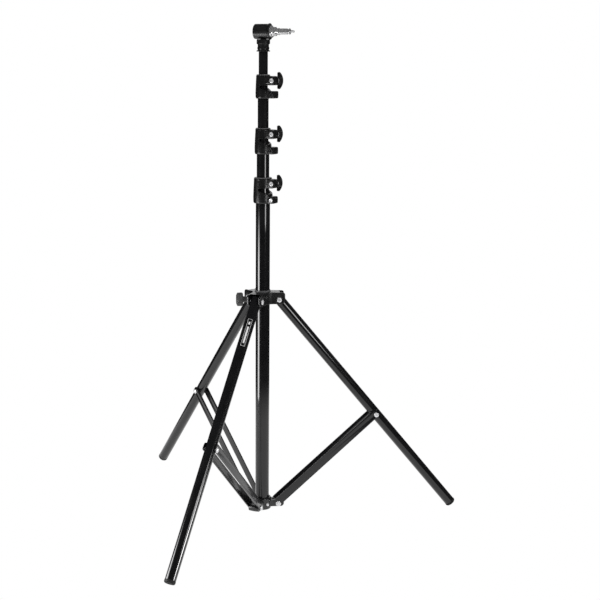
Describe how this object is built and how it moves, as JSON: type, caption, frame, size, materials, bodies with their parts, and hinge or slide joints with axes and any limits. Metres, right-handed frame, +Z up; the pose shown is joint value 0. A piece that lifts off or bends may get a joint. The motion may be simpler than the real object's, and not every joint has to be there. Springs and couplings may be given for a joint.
{
  "type": "telescopic lighting stand",
  "caption": "Tall black telescopic lighting stand with braced folding tripod legs, split clamping collars with T-knobs and a horizontal steel spigot head.",
  "frame": {"origin": "centre of the column's flat bottom face, which hangs about 15 mm above the floor when the legs are fully spread", "axes": "+Z up the column; +X from the column towards leg 1; the spigot points 26 degrees from it, towards -Y; +Y completes the right hand"},
  "size_m": [0.8812, 1.0126, 1.4074],
  "materials": {
    "black_tube": "gloss black coated aluminium tube and bar",
    "black_casting": "satin black coated die casting",
    "black_plastic": "satin black moulded plastic",
    "rubber": "black rubber",
    "zinc": "bright zinc or nickel plated steel",
    "nylon": "dark nylon bearing sleeve"
  },
  "bodies": {
    "root": {"base_tube": "black_tube", "base_plug": "black_plastic", "lower_hub": "black_casting", "lower_hub_set_screw": "zinc", "brace_1_hub_bolt": "zinc", "brace_2_hub_bolt": "zinc", "brace_3_hub_bolt": "zinc", "collar_1_body": "black_plastic", "collar_1_liner": "nylon", "collar_1_clamp_bolt": "zinc", "collar_1_fixing_bolt": "zinc"},
    "riser_1_slider": {"riser_1_guide": "nylon"},
    "riser_1": {"riser_1_tube": "black_tube", "collar_2_body": "black_plastic", "collar_2_liner": "nylon", "collar_2_clamp_bolt": "zinc", "collar_2_fixing_bolt": "zinc"},
    "riser_2_slider": {"riser_2_guide": "nylon"},
    "riser_2": {"riser_2_tube": "black_tube", "collar_3_body": "black_plastic", "collar_3_liner": "nylon", "collar_3_clamp_bolt": "zinc", "collar_3_fixing_bolt": "zinc"},
    "riser_3_slider": {"riser_3_guide": "nylon"},
    "riser_3": {"riser_3_tube": "black_tube", "head_neck": "black_plastic", "head_body": "black_casting", "spigot": "zinc"},
    "knob_washer_1": {"collar_1_washer": "zinc"},
    "knob_1": {"t_knob_1": "black_plastic"},
    "knob_washer_2": {"collar_2_washer": "zinc"},
    "knob_2": {"t_knob_2": "black_plastic"},
    "knob_washer_3": {"collar_3_washer": "zinc"},
    "knob_3": {"t_knob_3": "black_plastic"},
    "brace_1": {"brace_1a_bar": "black_tube", "brace_1b_bar": "black_tube", "brace_1_leg_bolt": "zinc"},
    "leg_1": {"leg_1_tube": "black_tube", "leg_1_plug": "black_plastic", "leg_1_foot": "rubber"},
    "pivot_bolt_1": {"leg_1_pivot_bolt": "zinc"},
    "leg_hub": {"leg_hub": "black_casting", "leg_hub_liner": "nylon", "leg_2_pivot_bolt": "zinc", "leg_3_pivot_bolt": "zinc"},
    "leg_2": {"leg_2_tube": "black_tube", "leg_2_plug": "black_plastic", "leg_2_foot": "rubber"},
    "leg_3": {"leg_3_tube": "black_tube", "leg_3_plug": "black_plastic", "leg_3_foot": "rubber"},
    "brace_2": {"brace_2a_bar": "black_tube", "brace_2b_bar": "black_tube", "brace_2_leg_bolt": "zinc"},
    "brace_3": {"brace_3a_bar": "black_tube", "brace_3b_bar": "black_tube", "brace_3_leg_bolt": "zinc"},
    "hub_pad": {"hub_brake_pad": "nylon"},
    "hub_knob": {"hub_knob": "black_plastic"}
  },
  "joints": [
    {"name": "riser_1_slide", "type": "slide", "parent": "root", "child": "riser_1_slider", "axis": [0, 0, 1], "range_m": [0, 0.82]},
    {"name": "riser_1_turn", "type": "hinge", "parent": "riser_1_slider", "child": "riser_1", "pos_m": [0, 0, 0.034], "axis": [0, 0, 1], "continuous": true},
    {"name": "riser_2_slide", "type": "slide", "parent": "riser_1", "child": "riser_2_slider", "axis": [0, 0, 1], "range_m": [0, 0.86]},
    {"name": "riser_2_turn", "type": "hinge", "parent": "riser_2_slider", "child": "riser_2", "pos_m": [0, 0, 0.072], "axis": [0, 0, 1], "continuous": true},
    {"name": "riser_3_slide", "type": "slide", "parent": "riser_2", "child": "riser_3_slider", "axis": [0, 0, 1], "range_m": [0, 0.88]},
    {"name": "riser_3_turn", "type": "hinge", "parent": "riser_3_slider", "child": "riser_3", "pos_m": [0, 0, 0.11], "axis": [0, 0, 1], "continuous": true},
    {"name": "knob_1_travel", "type": "slide", "parent": "root", "child": "knob_washer_1", "axis": [0.6157, 0.788, 0], "range_m": [0, 0.0019]},
    {"name": "knob_1_turn", "type": "hinge", "parent": "knob_washer_1", "child": "knob_1", "pos_m": [0.02719, -0.02124, 0.9606], "axis": [0.6157, 0.788, 0], "range_deg": [0, 540]},
    {"name": "knob_2_travel", "type": "slide", "parent": "riser_1", "child": "knob_washer_2", "axis": [0.6157, 0.788, 0], "range_m": [0, 0.0019]},
    {"name": "knob_2_turn", "type": "hinge", "parent": "knob_washer_2", "child": "knob_2", "pos_m": [0.02719, -0.02124, 1.0966], "axis": [0.6157, 0.788, 0], "range_deg": [0, 540]},
    {"name": "knob_3_travel", "type": "slide", "parent": "riser_2", "child": "knob_washer_3", "axis": [0.6157, 0.788, 0], "range_m": [0, 0.0019]},
    {"name": "knob_3_turn", "type": "hinge", "parent": "knob_washer_3", "child": "knob_3", "pos_m": [0.02719, -0.02124, 1.2412], "axis": [0.6157, 0.788, 0], "range_deg": [0, 540]},
    {"name": "leg_fold", "type": "hinge", "parent": "root", "child": "brace_1", "pos_m": [0.0464, 0, 0.0167], "axis": [0, -1, 0], "range_deg": [0, 46.3]},
    {"name": "leg_1_swing", "type": "hinge", "parent": "brace_1", "child": "leg_1", "pos_m": [0.3339, 0, 0.2823], "axis": [0, 1, 0], "range_deg": [0, 86]},
    {"name": "brace_2_swing", "type": "hinge", "parent": "root", "child": "brace_2", "pos_m": [-0.0232, 0.04018, 0.0167], "axis": [0.866, 0.5, 0], "range_deg": [0, 48]},
    {"name": "leg_2_swing", "type": "hinge", "parent": "brace_2", "child": "leg_2", "pos_m": [-0.16695, 0.28916, 0.2823], "axis": [-0.866, -0.5, 0], "range_deg": [0, 86]},
    {"name": "brace_3_swing", "type": "hinge", "parent": "root", "child": "brace_3", "pos_m": [-0.0232, -0.04018, 0.0167], "axis": [-0.866, 0.5, 0], "range_deg": [0, 48]},
    {"name": "leg_3_swing", "type": "hinge", "parent": "brace_3", "child": "leg_3", "pos_m": [-0.16695, -0.28916, 0.2823], "axis": [0.866, -0.5, 0], "range_deg": [0, 86]},
    {"name": "pivot_bolt_1_turn", "type": "hinge", "parent": "leg_1", "child": "pivot_bolt_1", "pos_m": [0.04579, 0, 0.62768], "axis": [0, -1, 0], "range_deg": [0, 278]},
    {"name": "hub_rise", "type": "hinge", "parent": "pivot_bolt_1", "child": "leg_hub", "pos_m": [0.0459, 0, 0.6308], "axis": [0, 1, 0], "range_deg": [0, 239]},
    {"name": "hub_pad_travel", "type": "slide", "parent": "leg_hub", "child": "hub_pad", "axis": [-1, 0, 0], "range_m": [0, 0.0019]},
    {"name": "hub_knob_turn", "type": "hinge", "parent": "hub_pad", "child": "hub_knob", "pos_m": [0, 0, 0.6308], "axis": [-1, 0, 0], "range_deg": [0, 540]}
  ],
  "couplings": [
    {"joint": "knob_1_travel", "follows": "knob_1_turn", "m_per_rad": 0.00019894},
    {"joint": "knob_2_travel", "follows": "knob_2_turn", "m_per_rad": 0.00019894},
    {"joint": "knob_3_travel", "follows": "knob_3_turn", "m_per_rad": 0.00019894},
    {"joint": "leg_1_swing", "follows": "leg_fold", "ratio": 1.8331},
    {"joint": "brace_2_swing", "follows": "leg_fold", "ratio": 1},
    {"joint": "leg_2_swing", "follows": "leg_fold", "ratio": 1.8331},
    {"joint": "brace_3_swing", "follows": "leg_fold", "ratio": 1},
    {"joint": "leg_3_swing", "follows": "leg_fold", "ratio": 1.8331},
    {"joint": "pivot_bolt_1_turn", "follows": "leg_fold", "ratio": 5.962},
    {"joint": "hub_rise", "follows": "leg_fold", "ratio": 5.1289},
    {"joint": "hub_pad_travel", "follows": "hub_knob_turn", "m_per_rad": 0.00019894}
  ]
}
